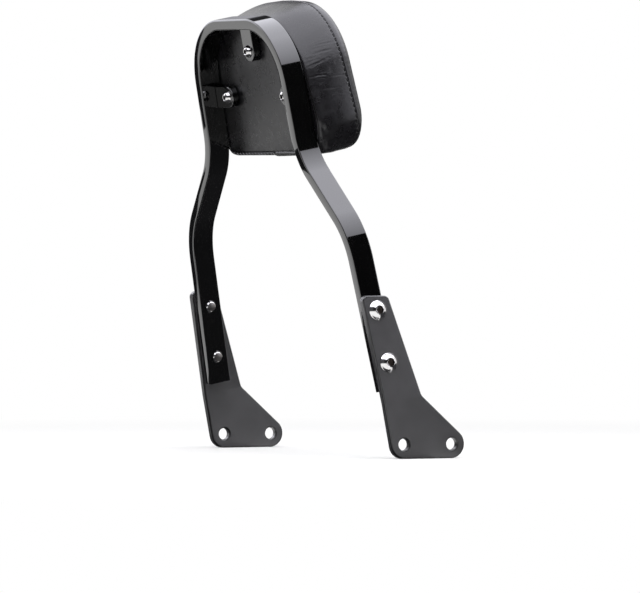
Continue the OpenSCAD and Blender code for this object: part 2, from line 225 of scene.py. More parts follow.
# %% Black upholstery vinyl
def vinyl(name, stress_lines):
    material, tree, place = new_material(name)
    cells = add_node(tree, "TexVoronoi", {"Vector": place, "Scale": 1 / (1.1 * MM)},
                     feature="DISTANCE_TO_EDGE")
    furrows = add_node(tree, "MapRange", {"Value": cells, "From Max": 0.12})
    grain = add_node(tree, "Bump", {"Height": furrows, "Strength": 0.07, "Distance": 0.05 * MM})
    normal = uneven(tree, place, 38, 1.0, 0.4, 0.6, Normal=grain)
    if stress_lines:
        uv = add_node(tree, "UVMap", uv_map="band")
        drawn = add_node(tree, "Mapping",
                         {"Vector": uv, "Rotation": (0, 0, 0.12), "Scale": (1 / 4, 1 / 22, 1)})
        waves = add_node(tree, "TexNoise",
                         {"Vector": drawn, "Scale": 1.0, "Detail": 2.5, "Distortion": 0.5})
        off = add_node(tree, "Math", {0: waves, 1: 0.5}, operation="SUBTRACT")
        off = add_node(tree, "Math", {0: off}, operation="ABSOLUTE")
        hairs = add_node(tree, "MapRange", {"Value": off, "From Max": 0.03})
        worn = add_node(tree, "Attribute", attribute_name="stress").outputs["Fac"]
        patchy = add_node(tree, "Math", {0: blotches(tree, place, 9, -0.9, 1.1), 1: worn},
                          operation="MULTIPLY", use_clamp=True)
        amount = add_node(tree, "Math", {0: hairs, 1: patchy}, operation="MULTIPLY")
        normal = add_node(tree, "Bump", {"Height": amount, "Strength": 0.3,
                                         "Distance": 0.3 * MM, "Normal": normal})
    colour = two_tones(tree, blotches(tree, place, 25, 0, 1), "#0c0b0d", "#121114")
    return finish_material(material, Base_Color=colour, Roughness=blotches(tree, place, 7, 0.26, 0.33),
                           IOR=1.5, Normal=normal)


plain_vinyl = vinyl("black_upholstery_vinyl", stress_lines=False)
band_vinyl = vinyl("black_upholstery_vinyl_creased", stress_lines=True)
print("made", plain_vinyl.name, band_vinyl.name)

# %% [markdown]
# The smaller finishes: bonded sewing thread with a twist, the plywood board, zinc-plated tee nuts and
# open foam. The last three lie inside the pad, and show only when it is opened up.

# %% Thread, plywood, zinc plate and foam
def bonded_thread(name, dark, light):
    material, tree, place = new_material(name)
    twist = add_node(tree, "TexWave", {"Vector": place, "Scale": 1 / (6 * MM), "Distortion": 1.0},
                     bands_direction="DIAGONAL").outputs["Fac"]
    bump = add_node(tree, "Bump", {"Height": twist, "Strength": 0.3, "Distance": 0.05 * MM})
    return finish_material(material, Base_Color=two_tones(tree, twist, dark, light), Roughness=0.5, IOR=1.5,
                           Normal=bump)


def plywood():
    material, tree, place = new_material("birch_plywood")
    drawn = add_node(tree, "Mapping", {"Vector": place, "Scale": (1, 1, 0.08)})
    fibres = add_node(tree, "TexNoise", {"Vector": drawn, "Scale": 1 / (2 * MM), "Detail": 4.0})
    return finish_material(material, Base_Color=two_tones(tree, fibres, "#a98a5c", "#c9ab7d"),
                           Roughness=0.6, IOR=1.5)


def zinc_plate():
    material, tree, place = new_material("zinc_plate")
    colour = two_tones(tree, blotches(tree, place, 1.5, 0, 1), "#a8abad", "#c3c5c6")
    return finish_material(material, Base_Color=colour, Metallic=1.0,
                           Roughness=blotches(tree, place, 1, 0.3, 0.45))


def open_foam():
    material, tree, place = new_material("open_cell_foam")
    pores = add_node(tree, "TexVoronoi", {"Vector": place, "Scale": 1 / (0.8 * MM)})
    bump = add_node(tree, "Bump", {"Height": pores, "Strength": 0.6, "Distance": 0.3 * MM})
    return finish_material(material, Base_Color=two_tones(tree, pores, "#cdbf86", "#e2d6a3"), Roughness=0.9,
                           IOR=1.4, Normal=bump)


seam_thread = bonded_thread("black_bonded_thread", "#050506", "#121214")
# the grey of the hem thread is a painted highlight on black thread
edge_thread = bonded_thread("grey_thread_painted_highlight", "#5d5b60", "#8a888d")
wood, zinc, foam = plywood(), zinc_plate(), open_foam()
for name, material in (("pad_board", wood), ("pad_foam", foam), ("top_tee_nut", zinc),
                       ("left_tee_nut", zinc), ("right_tee_nut", zinc)):
    nodes[name].data.materials.clear()
    nodes[name].data.materials.append(material)
print("made", seam_thread.name, edge_thread.name, wood.name, zinc.name, foam.name)

# %% [markdown]
# Every piece goes through the same steps: its points are leaned and scaled into the frame, sharp edges
# are marked by angle, and the frame is told what it rides on and what it stands for.

# %% Piece helpers
SHARP, SEWN_SHARP, COATED_SHARP, MERGE_MM = 40, 60, 35, 0.005


def new_mesh(name, points, faces=(), edges=()):
    """A plain mesh from points, in the units that it is given."""
    mesh = bpy.data.meshes.new(name)
    mesh.from_pydata([tuple(p) for p in points], edges, faces)
    return mesh


def placed(name, data):
    """A new object in the scene."""
    piece = bpy.data.objects.new(name, data)
    bpy.context.scene.collection.objects.link(piece)
    return piece


def leaned(points):
    """Points of the hoop's plane, in millimetres, as points of the frame, in metres."""
    return [LEAN @ Vector(p) for p in points]


def shaded(mesh, sharp_degrees):
    """Shades a mesh smooth, apart from its sharp edges."""
    mesh.shade_smooth()
    mesh.set_sharp_from_angle(angle=radians(sharp_degrees))
    return mesh


def mesh_piece(name, points, faces, material, sharp_degrees=SHARP):
    """A piece from points in the hoop's plane, in millimetres."""
    mesh = new_mesh(name, leaned(points), faces)
    mesh.materials.append(material)
    return placed(name, shaded(mesh, sharp_degrees))


def applied(piece, sharp_degrees=SHARP):
    """Replaces a piece's mesh by what its modifiers make of it, and removes them."""
    bpy.context.view_layer.update()
    mesh = bpy.data.meshes.new_from_object(piece.evaluated_get(bpy.context.evaluated_depsgraph_get()))
    piece.modifiers.clear()
    piece.data = shaded(mesh, sharp_degrees)
    return piece


def modify(piece, kind, **settings):
    """Adds a modifier with its settings."""
    modifier = piece.modifiers.new(kind, kind)
    for name, value in settings.items():
        setattr(modifier, name, value)
    return modifier


def grid_faces(rows, count, flip=False):
    """Faces of a closed strip with rows of count points."""
    faces = []
    for r in range(rows - 1):
        for i in range(count):
            j = (i + 1) % count
            quad = (r * count + i, r * count + j, (r + 1) * count + j, (r + 1) * count + i)
            faces.append(quad[::-1] if flip else quad)
    return faces


def cleaned(source, mesh, merge, flat_degrees=0):
    """Merges close points, then joins up flat faces or else turns all faces outwards."""
    bm = bmesh.new()
    bm.from_mesh(source)
    bmesh.ops.remove_doubles(bm, verts=bm.verts, dist=merge)
    if flat_degrees:
        bmesh.ops.dissolve_limit(bm, angle_limit=radians(flat_degrees), verts=bm.verts, edges=bm.edges)
    else:
        bmesh.ops.recalc_face_normals(bm, faces=bm.faces)
    bm.to_mesh(mesh)
    bm.free()
    return mesh


def declare(piece, slot, *replaced):
    """Tells the frame about a finished piece."""
    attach(piece, "root")
    if replaced:
        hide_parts(*replaced)
    triangles = sum(len(face.vertices) - 2 for face in piece.data.polygons)
    print(piece.name, "has", triangles, "triangles", "and stands for" if replaced else "", *replaced)


# %% [markdown]
# The hoop is one flat bar bent the easy way. Its section is carried along a line of straights and
# round bends, in the small even steps that a mirror finish needs. Extra rings beside each bend and
# extra points beside each rounded edge keep the wide sides flat. The narrow sides of rolled bar swell
# by a seventh of a millimetre, which is enough to split their reflection lengthwise.

# %% Centre line of the bar
def unit(v):
    return v / np.linalg.norm(v)


def rotated(v, angle):
    c, s = cos(angle), sin(angle)
    return np.array([v[0] * c - v[1] * s, v[0] * s + v[1] * c])


def bend(before, corner, after, radius, steps):
    """Points and directions round one corner of a path."""
    u, v = unit(corner - before), unit(after - corner)
    angle = atan2(u[0] * v[1] - u[1] * v[0], u @ v)
    start = corner - u * radius * tan(abs(angle) / 2)
    centre = start + np.array([-u[1], u[0]]) * radius * copysign(1, angle)
    turns = [angle * i / steps for i in range(steps + 1)]
    return [(centre + rotated(start - centre, a), rotated(u, a)) for a in turns]


splay = tan(radians(LEG_SPLAY))
right_path = [(HIP_W / 2 + (HIP_Z - BAR_END_RISE) * splay, BAR_END_RISE), (HIP_W / 2, HIP_Z),
              (WAIST_W / 2, WAIST_Z), (TOP_W / 2, TOP_Z)]
hoop_path = [np.array(p, float) for p in right_path + [(-x, z) for x, z in reversed(right_path)]]
bend_radii = [HIP_R, WAIST_R, CORNER_R, CORNER_R, WAIST_R, HIP_R]
BEND_STEPS = 40
EASE = 0.4

stations = [(hoop_path[0], unit(hoop_path[1] - hoop_path[0]))]
for i, radius in enumerate(bend_radii, start=1):
    arc = bend(hoop_path[i - 1], hoop_path[i], hoop_path[i + 1], radius, BEND_STEPS)
    stations.append((arc[0][0] - arc[0][1] * EASE, arc[0][1]))
    stations += arc
    stations.append((arc[-1][0] + arc[-1][1] * EASE, arc[-1][1]))
stations.append((hoop_path[-1], unit(hoop_path[-1] - hoop_path[-2])))
print("stations along the bar", len(stations))

# %% Sweep the bar
def bar_section(width, depth, radius, crown, steps=5):
    """Section of rolled flat bar: flat wide sides, slightly crowned narrow sides and round edges."""
    lean = atan(2 * crown / (width / 2 - radius * 0.9))
    cx, cy = width / 2 - radius, depth / 2 - crown - radius * cos(lean)
    edge_x = cx + radius * sin(lean)
    quarter = [(width / 2, cy - EASE)]
    quarter += [(cx + radius * cos(a), cy + radius * sin(a))
                for a in np.linspace(0, pi / 2 - lean, steps + 1)]
    quarter += [(x, depth / 2 - crown * (x / edge_x) ** 2) for x in np.linspace(edge_x, 0, 5)[1:]]
    upper = quarter + [(-x, y) for x, y in reversed(quarter[:-1])]
    return upper + [(-x, -y) for x, y in upper]


def skin(rings, closed_ends=True):
    """Faces over rings of equally many points, with the first and last ring capped."""
    count = len(rings[0])
    faces = grid_faces(len(rings), count)
    if closed_ends:
        faces.append(tuple(range(count - 1, -1, -1)))
        faces.append(tuple((len(rings) - 1) * count + i for i in range(count)))
    return [p for ring in rings for p in ring], faces


section = bar_section(BAR_T, BAR_W, BAR_EDGE_R, BAR_CROWN)
rings = []
for centre, direction in stations:
    out = np.array([direction[1], -direction[0]])
    rings.append([(centre[0] + out[0] * across, depth, centre[1] + out[1] * across)
                  for across, depth in section])
points, faces = skin(rings)
hoop = mesh_piece("bent_flat_bar", points, faces, gloss_black)
print("bar swept with", len(faces), "faces")

# %% [markdown]
# The side screws go through plate and bar, so the bar has four holes with small countersinks. A
# boolean cuts them all at once. The same function later cuts the holes in the pad's back panel.

# %% Cut the screw holes
def on_leg(side, along):
    """The frame on the middle of a leg: X out through its flat face, Z up the leg."""
    mirror = Matrix.Diagonal((side, 1, 1, 1))
    place = Matrix.Translation((HIP_W / 2, 0, HIP_Z)) @ Matrix.Rotation(radians(-LEG_SPLAY), 4, "Y")
    return mirror @ place @ Matrix.Translation((0, 0, -along))


def lathe(profile, count, matrix=Matrix.Identity(4)):
    """Rings of (radius, height) turned about Z, then placed by a matrix."""
    return [[tuple(matrix @ Vector((r * cos(a), r * sin(a), z)))
             for a in (2 * pi * i / count for i in range(count))] for r, z in profile]


def cut(piece, cutters, sharp_degrees=SHARP):
    """Cuts closed shapes, given as rings, out of a piece."""
    points, faces = [], []
    for rings in cutters:
        more, shells = skin(rings)
        faces += [tuple(len(points) + i for i in shell) for shell in shells]
        points += more
    tool = mesh_piece("cutter", points, faces, piece.data.materials[0])
    cleaned(tool.data, tool.data, MERGE_MM * MM)
    modify(piece, "BOOLEAN", object=tool, operation="DIFFERENCE", solver="EXACT")
    applied(piece, sharp_degrees)
    bpy.data.objects.remove(tool)


screw_along = (HIP_Z - SIDE_SCREW_RISE) / cos(radians(LEG_SPLAY))
leg_seats = [(side, along) for side in (-1, 1) for along in (screw_along, screw_along + SIDE_SCREW_PITCH)]
HOLE_GAP = 0.1
SINK = 0.6
hole_r = SIDE_SCREW["thread_d"] / 2 + HOLE_GAP
half = BAR_T / 2
hole_profile = [(hole_r + 2 * SINK, -half - SINK), (hole_r, -half + SINK), (hole_r, half - SINK),
                (hole_r + 2 * SINK, half + SINK)]
cut(hoop, [lathe(hole_profile, 40, on_leg(side, along) @ Matrix.Rotation(pi / 2, 4, "Y"))
           for side, along in leg_seats])
declare(hoop, "gloss_black_paint", "upright_hoop")

# %% [markdown]
# Plates and tabs are flat steel, cut and then coated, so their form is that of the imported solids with
# edges rounded by the coat. A copy of each solid is merged, its flat faces are joined up, and a bevel
# rounds every sharp edge. Corners are shaded by the flat faces that they touch, so flat stays flat.

# %% Plates and tabs with rounded edges
FLAT_DEGREES, BEVELLED_DEGREES, SAME_WAY, FLAT_WEIGHT = 0.5, 45, 0.995, 1000


def rounded_copy(node, name, material, edge_mm):
    """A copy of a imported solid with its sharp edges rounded."""
    mesh = cleaned(nodes[node].data, bpy.data.meshes.new(name), MERGE_MM * MM, FLAT_DEGREES)
    mesh.materials.append(material)
    flat_normals = [face.normal.copy() for face in mesh.polygons]
    piece = placed(name, mesh)
    modify(piece, "BEVEL", width=edge_mm * MM, segments=4, limit_method="ANGLE",
           angle_limit=radians(BEVELLED_DEGREES), use_clamp_overlap=False)
    applied(piece, COATED_SHARP)
    faces = piece.data.polygons
    rounded = [float(max(face.normal @ flat for flat in flat_normals) < SAME_WAY) for face in faces]
    # rim marks the rounded faces, which the satin coat darkens with a painted shade
    piece.data.attributes.new("rim", "FLOAT", "FACE").data.foreach_set("value", rounded)
    around = [[] for vertex in piece.data.vertices]
    for face in faces:
        for corner in face.vertices:
            around[corner].append(face)
    directions = []
    for face in faces:
        for corner in face.vertices:
            total = Vector()
            for near in around[corner]:
                if near.normal @ face.normal > 0.7:
                    total += near.normal * near.area * (1 if rounded[near.index] else FLAT_WEIGHT)
            directions.append(total.normalized())
    piece.data.normals_split_custom_set(directions)
    return piece


for side in ("left", "right"):
    plate = rounded_copy(side + "_side_plate", side + "_bent_plate", satin_black, 1.3)
    declare(plate, "satin_black_paint", side + "_side_plate")
for place in ("top", "left", "right"):
    tab = rounded_copy(place + "_pad_tab", place + "_welded_tab", gloss_black, 0.9)
    declare(tab, "gloss_black_paint", place + "_pad_tab")

# %% [markdown]
# Seven button-head screws in two sizes hold the bar and the pad. A blank of each size is turned from a
# profile, with a hexagonal socket whose corners are drawn into the innermost rings. Geometry Nodes
# then put a blank on every seat and turn it to face along the seat's own direction.

# %% Screw blank
TURNS, POLE_MERGE_MM = 48, 0.02


def hexagon_radius(angle, across_flats):
    """Distance from the middle of a hexagon to its side at an angle."""
    return across_flats / 2 / cos((angle + pi / 6) % (pi / 3) - pi / 6)


def screw_blank(name, head_d, head_h, thread_d, length, socket):
    """A button-head screw that stands on the plane Z = 0 with its head above it."""
    dome_r = ((head_d / 2) ** 2 + head_h ** 2) / (2 * head_h)
    angles = [2 * pi * i / TURNS for i in range(TURNS)]
    land_r = socket * 0.64
    chamfer = 1.2
    floor_z = head_h * 0.35

    def dome(r):
        return head_h - dome_r + sqrt(dome_r ** 2 - r ** 2)

    def hexagon(size, z):
        radii = [size * hexagon_radius(a, socket) for a in angles]
        return [(r * cos(a), r * sin(a), z) for r, a in zip(radii, angles)]

    rim = head_d / 2
    rings = [[(0.0, 0.0, floor_z - 0.5)] * TURNS, hexagon(0.8, floor_z), hexagon(1, floor_z + 0.2),
             hexagon(1, dome(land_r) - 0.45), hexagon(1.05, dome(land_r) - 0.1)]
    steps = [land_r + (rim * 0.93 - land_r) * i / 9 for i in range(10)]
    profile = [(r, dome(r)) for r in steps]
    low = dome(rim * 0.95)
    thread_r = thread_d / 2
    profile += [(rim * 0.965, low * 0.85), (rim, low * 0.45), (rim, 0.15), (rim - 0.2, 0)]
    profile += [(thread_r + 0.3, 0), (thread_r, -0.3), (thread_r, chamfer - length),
                (thread_r - chamfer * 0.5, chamfer * 0.4 - length), (thread_r - chamfer, -length),
                (0.01, -length)]
    rings += lathe(profile, TURNS)
    points, faces = skin(rings, closed_ends=False)
    mesh = new_mesh(name, points, faces)
    cleaned(mesh, mesh, POLE_MERGE_MM)
    # 1 in the socket, where the dark colour is a painted shade, and 0.8 at the bare cut end
    socket_shade_bare_end = mesh.attributes.new("socket_shade_bare_end", "FLOAT", "POINT")
    for vertex in mesh.vertices:
        x, y, z = vertex.co
        in_socket = hypot(x, y) < land_r * 0.98 and 0 < z < dome(land_r) - 0.2
        socket_shade_bare_end.data[vertex.index].value = 1.0 if in_socket else 0.8 if z < 0.05 - length else 0.0
    mesh.transform(Matrix.Scale(MM, 4))
    return placed(name, mesh)


side_blank = screw_blank("side_screw_blank", **SIDE_SCREW)
pad_blank = screw_blank("pad_screw_blank", **PAD_SCREW)
print("screw blanks have", len(side_blank.data.polygons), "faces each")

# %% Geometry nodes that set one shape on every seat
def new_group(name, **sockets):
    """An empty geometry tree with named inputs, and the sockets that give them."""
    tree = bpy.data.node_groups.new(name, "GeometryNodeTree")
    for label, kind in {"Geometry": "Geometry", **sockets, "Finish": "Material"}.items():
        tree.interface.new_socket(label.replace("_", " "), in_out="INPUT", socket_type="NodeSocket" + kind)
    tree.interface.new_socket("Geometry", in_out="OUTPUT", socket_type="NodeSocketGeometry")
    return tree, add_node(tree, "NodeGroupInput").outputs


def finish_group(tree, copies, finish):
    """Makes the copies real, gives them their material and closes the tree."""
    real = add_node(tree, "GeometryNodeRealizeInstances", {"Geometry": copies})
    done = add_node(tree, "GeometryNodeSetMaterial", {"Geometry": real, "Material": finish})
    add_node(tree, "NodeGroupOutput", {"Geometry": done})
    return tree


def seats_tree():
    """The given object on each point, turned so that its Z follows the point's facing."""
    tree, given = new_group("screws_on_seats", Blank="Object")
    blank = add_node(tree, "GeometryNodeObjectInfo", {"Object": given["Blank"]}).outputs["Geometry"]
    facing = add_node(tree, "GeometryNodeInputNamedAttribute", {"Name": "facing"}, data_type="FLOAT_VECTOR")
    turn = add_node(tree, "FunctionNodeAlignEulerToVector", {"Vector": facing}, axis="Z")
    seats = add_node(tree, "GeometryNodeMeshToPoints", {"Mesh": given["Geometry"]})
    copies = add_node(tree, "GeometryNodeInstanceOnPoints",
                      {"Points": seats, "Instance": blank, "Rotation": turn})
    return finish_group(tree, copies, given["Finish"])


def run_nodes(piece, tree, values):
    """Adds a tree to a piece, sets its inputs by their identifiers, and makes the result a plain mesh."""
    modifier = modify(piece, "NODES", node_group=tree)
    for item in tree.interface.items_tree:
        if item.in_out == "INPUT" and item.name in values:
            modifier[item.identifier] = values[item.name]
    return applied(piece)


def seat_points(name, seats):
    """Loose points, each with the direction that it faces."""
    mesh = new_mesh(name, leaned(place for place, facing in seats))
    facings = mesh.attributes.new("facing", "FLOAT_VECTOR", "POINT")
    for i, (place, facing) in enumerate(seats):
        facings.data[i].vector = (LEAN.to_3x3() @ Vector(facing)).normalized()
    return placed(name, mesh)


side_seats = [(on_leg(side, along) @ Vector((BAR_T / 2 + PLATE_T, 0, 0)),
               on_leg(side, along).to_3x3() @ Vector((1, 0, 0))) for side, along in leg_seats]
pad_seats = [(0, HOOP_H - TOP_TAB_DROP), (-SIDE_TAB_SPAN / 2, HOOP_H - SIDE_TAB_DROP),
             (SIDE_TAB_SPAN / 2, HOOP_H - SIDE_TAB_DROP)]
tree = seats_tree()
side_screws = seat_points("side_screws", side_seats)
run_nodes(side_screws, tree, {"Blank": side_blank, "Finish": chrome})
pad_screws = seat_points("pad_screws", [(Vector((x, TAB_BACK_Y, z)), (0, -1, 0)) for x, z in pad_seats])
run_nodes(pad_screws, tree, {"Blank": pad_blank, "Finish": chrome})
declare(side_screws, "chrome_screws", "left_upper_side_screw", "left_lower_side_screw",
        "right_upper_side_screw", "right_lower_side_screw")
declare(pad_screws, "chrome_screws", "top_pad_screw", "left_pad_screw", "right_pad_screw")
for blank in (side_blank, pad_blank):
    bpy.data.objects.remove(blank)

# %% [markdown]
# The pad is sewn from three pieces of vinyl over foam: a back panel, a side band and a crowned front
# panel. The vinyl is drawn tight over moulded foam, so its form is worked out as a surface and then
# sculpted by displacement: a swell between the seams, puckers at the stitches, and creases.
# Every row of points has the same outline, five-cornered with wide round corners, so one function
# makes it for any inset and any drop of the shoulders.

# %% Outline of the pad
AROUND = 900


def pad_outline(inset, lowered):
    """AROUND evenly spaced points from the middle of the base, anticlockwise seen from behind."""
    z = PAD_SHOULDER_Z - lowered * PAD_BACK_DROP
    corners = [(-PAD_BASE_W / 2, PAD_BASE_Z), (PAD_BASE_W / 2, PAD_BASE_Z), (PAD_SHOULDER_W / 2, z),
               (0, z + PAD_APEX), (-PAD_SHOULDER_W / 2, z)]
    corners = [np.array(c, float) for c in corners]
    moved = []
    for i, corner in enumerate(corners):
        u, v = unit(corner - corners[i - 1]), unit(corners[(i + 1) % 5] - corner)
        u, v = np.array([-u[1], u[0]]), np.array([-v[1], v[0]])
        moved.append(corner + (u + v) * inset / (1 + u @ v))
    line = [np.array([0.0, moved[0][1]])]
    for i, radius in ((1, BASE_R), (2, SHOULDER_R), (3, CREST_R), (4, SHOULDER_R), (0, BASE_R)):
        line += [p for p, d in bend(moved[i - 1], moved[i], moved[(i + 1) % 5], radius - inset, 60)]
    line.append(line[0])
    line = np.array(line)
    run = np.concatenate([[0], np.cumsum(np.linalg.norm(np.diff(line, axis=0), axis=1))])
    at = np.linspace(0, run[-1], AROUND + 1)[:-1]
    return np.stack([np.interp(at, run, line[:, 0]), np.interp(at, run, line[:, 1])], axis=1)


def ring(outline, y):
    """Points on an outline, all at one depth or each at its own."""
    return np.stack([outline[:, 0], np.broadcast_to(y, AROUND), outline[:, 1]], axis=1)


seam = pad_outline(0, 0)
perimeter = np.linalg.norm(seam - np.roll(seam, 1, axis=0), axis=1).sum()
print("the seam is", round(perimeter), "mm long, with a point every", round(perimeter / AROUND, 2), "mm")

# %% [markdown]
# The side band is a row of outlines. At the back it rolls over a hem 3 mm wide beside the back panel,
# and at the front it dips into the groove of the seam. Creases are strokes, each a listed line of
# points in the band's own measure: along the perimeter from the middle of the base, and across
# from the back edge. Each presses a narrow valley with a soft ridge beside it.

# %% Profile of the side band
hem = [(1.1, 3.5), (0.7, 3.3), (0.3, 3.05), (0.05, 2.6), (0.0, 2.0), (0.15, 1.35), (0.5, 0.75), (1.0, 0.35),
       (1.7, 0.1)]
band_rows = [(depth, inset, 1 - 0.04 * depth) for depth, inset in hem]
BAND_STEPS = 42
LIP = 2.0
for i in range(1, BAND_STEPS + 1):
    w = i / BAND_STEPS
    depth = REAR_EDGE + (BAND_DEPTH - LIP - REAR_EDGE) * w
    band_rows.append((depth, -BAND_SWELL * sin(pi * w * 0.85), 0.9 * (1 - w) ** 1.3))
swell = band_rows[-1][1]
lip_curve = [(1.5, 0.04), (1.15, 0.16), (0.85, 0.42), (0.65, 0.8), (0.55, 1.2), (0.4, 1.42), (0.05, 1.5)]
band_rows += [(BAND_DEPTH - back, swell + down, 0) for back, down in lip_curve]
groove_floor = swell + 1.5
depths = np.array([row[0] for row in band_rows])
along = np.arange(AROUND) * perimeter / AROUND
SEAM_STITCHES = round(perimeter / 4.6)
stitch_row = 0.5 + 0.5 * np.cos(2 * pi * SEAM_STITCHES * along / perimeter)


def seam_outline(level, sunk):
    """An outline at a level of inset that is sunk further at every stitch, and half as far between."""
    pull = (0.35 + 0.65 * np.clip(1.6 * stitch_row - 0.2, 0, 1))[:, None]
    return pad_outline(level, 0) * (1 - pull) + pad_outline(level + sunk, 0) * pull


band = np.array([ring(pad_outline(inset, lowered), PAD_Y + depth) for depth, inset, lowered in band_rows])
for row, (back, down) in enumerate(lip_curve, start=len(band_rows) - len(lip_curve)):
    band[row] = ring(seam_outline(swell, down), PAD_Y + BAND_DEPTH - back)
print("the band has", band.shape[0], "rows of", band.shape[1], "points")

# %% Creases and puckers
def smooth_noise(positions, size, seed):
    """Smooth random values round the perimeter, about one wave for each size."""
    count = max(4, round(perimeter / size))
    knots = np.random.default_rng(seed).uniform(-1, 1, count)
    at = positions / perimeter * count
    i = np.floor(at).astype(int) % count
    t = at - np.floor(at)
    t = t * t * (3 - 2 * t)
    return knots[i] * (1 - t) + knots[(i + 1) % count] * t


def crease(u, v, line, width):
    """How deep a crease presses, from 0 to 1, with a low ridge on either side."""
    nearest = np.full(u.shape, 1e9)
    share = np.zeros(u.shape)
    for k, (a, b) in enumerate(zip(line, line[1:])):
        du, dv = b[0] - a[0], b[1] - a[1]
        t = np.clip(((u - a[0]) * du + (v - a[1]) * dv) / (du * du + dv * dv), 0, 1)
        d = np.hypot(u - a[0] - t * du, v - a[1] - t * dv)
        share = np.where(d < nearest, (k + t) / (len(line) - 1), share)
        nearest = np.minimum(d, nearest)
    d = nearest / width
    fade = np.sin(np.pi * np.clip(share, 0.04, 0.96)) ** 0.5
    return fade * (np.exp(-d ** 2) - 0.4 * np.exp(-(d - 1.9) ** 2))


CREASES = [
    ([(155.2, 7), (154.0, 12), (152.5, 17.5)], 0.7, 0.42),
    ([(157.5, 8), (155.6, 13), (156.4, 20)], 0.6, 0.14),
    ([(152.3, 8), (151.8, 12.5), (149.5, 16.5)], 0.6, 0.14),
    ([(149.8, 22), (149.0, 29), (147.9, 36)], 0.7, 0.26),
    ([(156.1, 0), (154.2, 8)], 0.7, 0.18), ([(164.6, 2), (164.9, 13.5), (166.0, 24)], 0.8, 0.18),
    ([(172.0, 1), (170.6, 13)], 0.7, 0.12), ([(179.9, 16), (178.6, 26), (177.7, 37)], 0.8, 0.18),
    ([(178.0, 10), (176.4, 29)], 0.7, 0.12), ([(173.6, 10), (172.3, 30)], 0.8, 0.18),
    ([(140.8, 18), (139.4, 28)], 0.7, 0.12), ([(142.1, 9), (140.2, 21)], 0.7, 0.14),
    ([(134.7, 24), (132.0, 34)], 0.7, 0.12), ([(96, 1), (90, 4), (83, 8)], 2.6, 1.5),
    ([(92, 16), (82, 20), (70, 27)], 3.0, 1.3), ([(112, 1), (106, 4)], 2.4, 0.8)]
draw = np.random.default_rng(21)
for i in range(14):
    start = (draw.uniform(134, 186), draw.uniform(0, 22))
    reach, slope = draw.uniform(7, 18), draw.uniform(-0.22, 0.22)
    middle = (start[0] + slope * reach / 2 + draw.uniform(-0.7, 0.7), start[1] + reach / 2)
    end = (start[0] + slope * reach, start[1] + reach)
    CREASES.append(([start, middle, end], draw.uniform(0.55, 0.75), draw.uniform(0.02, 0.06)))

CREASED = 0.6
u, v = np.meshgrid(along, depths)
press = np.zeros_like(u)
for line, width, depth in CREASES:
    press += CREASED * depth * crease(u, v, line, width)
    shift = draw.uniform(-9, 9)
    mirrored = [(perimeter - a + shift, b) for a, b in line]
    press += CREASED * depth * draw.uniform(0.5, 1.0) * crease(u, v, mirrored, width)
press += np.exp(-(BAND_DEPTH - v) / 1.8) * 0.22 * stitch_row
press += 0.14 * np.exp(-(BAND_DEPTH - v) / 5) * smooth_noise(u, 7, 3)
press += 0.2 * np.sin(np.pi * v / BAND_DEPTH) * smooth_noise(u, 30, 4)
fold = np.clip((u - 1) / 6, 0, 1) * np.exp(-(u / 45) ** 2) * np.exp(-(v / 11) ** 2)
press -= 0.9 * fold * (u < perimeter / 2)

step_u = np.roll(band, -1, axis=1) - np.roll(band, 1, axis=1)
step_v = np.gradient(band, axis=0)
normals = np.cross(step_u, step_v)
normals /= np.linalg.norm(normals, axis=2, keepdims=True)
middle = np.array([0, SEAM_Y, PAD_BASE_Z + PAD_BASE_DROP / 2])
outwards = np.sign(np.sum(normals * (band - middle), axis=2).mean())
band = band - normals * outwards * press[:, :, None]
print("creases", len(CREASES), "deepest press", round(float(press.max()), 2), "mm")

# %% Build the side band
def shell(piece, thickness):
    """Gives an open sheet the thickness of the cover, inwards."""
    modify(piece, "SOLIDIFY", thickness=thickness * MM, offset=-1, use_rim=True)
    return applied(piece, SEWN_SHARP)


def sewn(piece, node):
    """Declares a piece of the cover, which is drawn tight over the foam."""
    declare(piece, "black_vinyl", node)


band_faces = grid_faces(len(band_rows), AROUND, outwards < 0)
side_band = mesh_piece("sewn_side_band", band.reshape(-1, 3), band_faces, band_vinyl, SEWN_SHARP)
uv = side_band.data.uv_layers.new(name="band")
for loop in side_band.data.loops:
    row, column = divmod(loop.vertex_index, AROUND)
    uv.data[loop.index].uv = (along[column], depths[row])
stress = side_band.data.attributes.new("stress", "FLOAT", "POINT")
side_distance = np.abs((along + perimeter / 2) % perimeter - perimeter / 2)
worn = np.exp(-((side_distance - 162) / 30) ** 2)
stress.data.foreach_set("value", np.tile(worn, len(band_rows)).astype(np.float32))
sewn(shell(side_band, COVER_T * SKIVED), "pad_side_band")

# %% [markdown]
# The front panel rises steeply from the seam and flattens towards its middle, like a moulded cushion.
# Its height along any line from the middle to the seam follows one formula, and the panel is thicker
# at the top than at its base.

# %% Front panel
def closed_panel(name, rows, hub, flip, thickness):
    """A sheet of rows that close round a hub."""
    points = list(np.array(rows).reshape(-1, 3)) + [hub]
    last = (len(rows) - 1) * AROUND
    fan = [(last + i, last + (i + 1) % AROUND, len(points) - 1) for i in range(AROUND)]
    faces = grid_faces(len(rows), AROUND, flip) + [face[::-1] if flip else face for face in fan]
    return shell(mesh_piece(name, points, faces, plain_vinyl, SEWN_SHARP), thickness)


